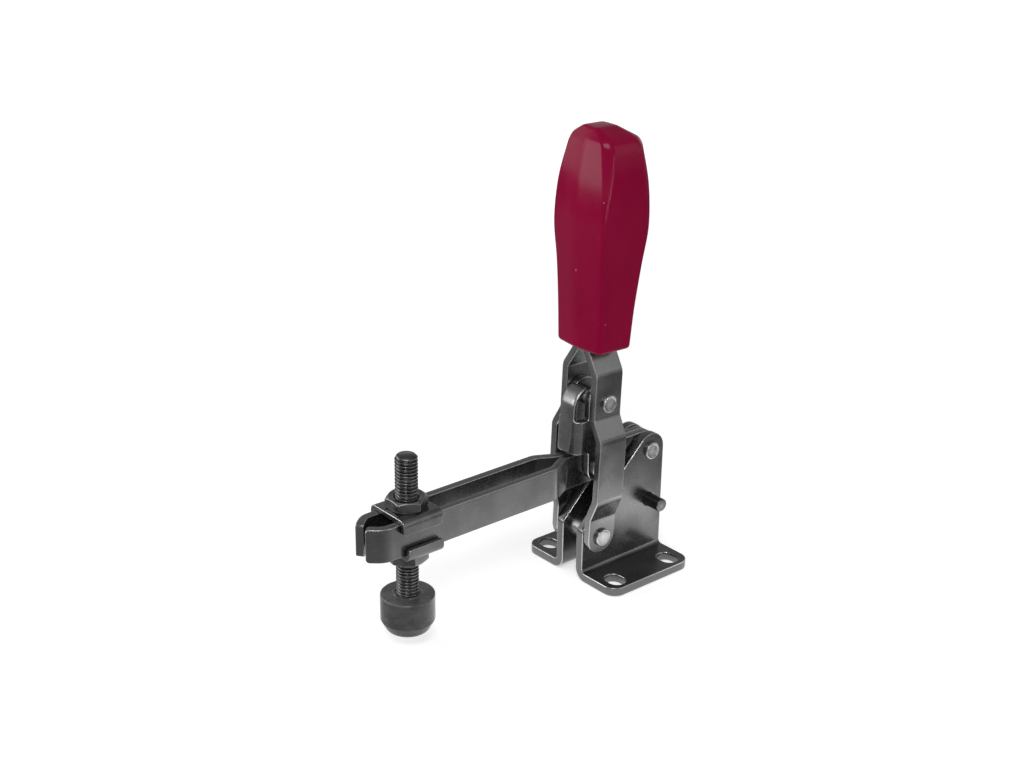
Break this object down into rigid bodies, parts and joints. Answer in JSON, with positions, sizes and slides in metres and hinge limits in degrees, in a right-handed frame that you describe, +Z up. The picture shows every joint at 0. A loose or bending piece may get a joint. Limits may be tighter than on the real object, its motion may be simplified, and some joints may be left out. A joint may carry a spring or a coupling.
{
  "type": "toggle clamp",
  "caption": "Vertical-handle hold-down toggle clamp with slotted feet, an open two-bar arm, an adjustable M8 spindle with a rubber cap and a moulded grip.",
  "frame": {"origin": "centre of the four base slots, on the underside of the feet", "axes": "+Z up, the arm and spindle point to -Y, +X across the base"},
  "size_m": [0.049, 0.1343, 0.1708],
  "materials": {
    "black_steel": "black oxide, satin",
    "fastener_steel": "black oxide, satin",
    "rivet_steel": "bright",
    "bush_steel": "machined",
    "cap_rubber": "matte",
    "grip_plastic": "glossy wine red"
  },
  "bodies": {
    "base": {"base_bracket_left": "black_steel", "base_bracket_right": "black_steel", "handle_pivot_rivet": "rivet_steel", "handle_pivot_spacer": "bush_steel", "arm_pivot_rivet_left": "rivet_steel", "arm_pivot_rivet_right": "rivet_steel", "stop_pin": "black_steel"},
    "handle": {"handle_side_left": "black_steel", "handle_side_right": "black_steel", "grip": "grip_plastic", "link_top_rivet": "rivet_steel", "link_top_bush": "bush_steel"},
    "link": {"toggle_link": "black_steel", "arm_link_rivet": "rivet_steel"},
    "arm": {"arm_bar_left": "black_steel", "arm_bar_right": "black_steel", "arm_pivot_bush": "bush_steel", "arm_pivot_washer_left": "bush_steel", "arm_pivot_washer_right": "bush_steel"},
    "carriage": {"upper_flanged_washer": "fastener_steel", "lower_flanged_washer": "fastener_steel", "upper_nut": "fastener_steel", "lower_nut": "fastener_steel"},
    "spindle_set": {"spindle": "fastener_steel", "rubber_cap": "cap_rubber"}
  },
  "joints": [
    {"name": "handle_swing", "type": "hinge", "parent": "base", "child": "handle", "pos_m": [0, -0.0134, 0.0177], "axis": [-1, 0, 0], "range_deg": [0, 56]},
    {"name": "link_swing", "type": "hinge", "parent": "handle", "child": "link", "pos_m": [0, -0.01151, 0.07037], "axis": [-1, 0, 0], "range_deg": [0, 95.67]},
    {"name": "arm_swing", "type": "hinge", "parent": "link", "child": "arm", "pos_m": [0, -0.01245, 0.04408], "axis": [-1, 0, 0], "range_deg": [-47.62, 0]},
    {"name": "carriage_slide", "type": "slide", "parent": "arm", "child": "carriage", "axis": [0, 1, 0], "range_m": [-0.0065, 0.05]},
    {"name": "spindle_height", "type": "slide", "parent": "carriage", "child": "spindle_set", "axis": [0, 0, 1], "range_m": [-0.013, 0.012]}
  ],
  "couplings": [
    {"joint": "link_swing", "follows": "handle_swing", "ratio": 1.7081},
    {"joint": "arm_swing", "follows": "handle_swing", "ratio": -0.85013}
  ]
}
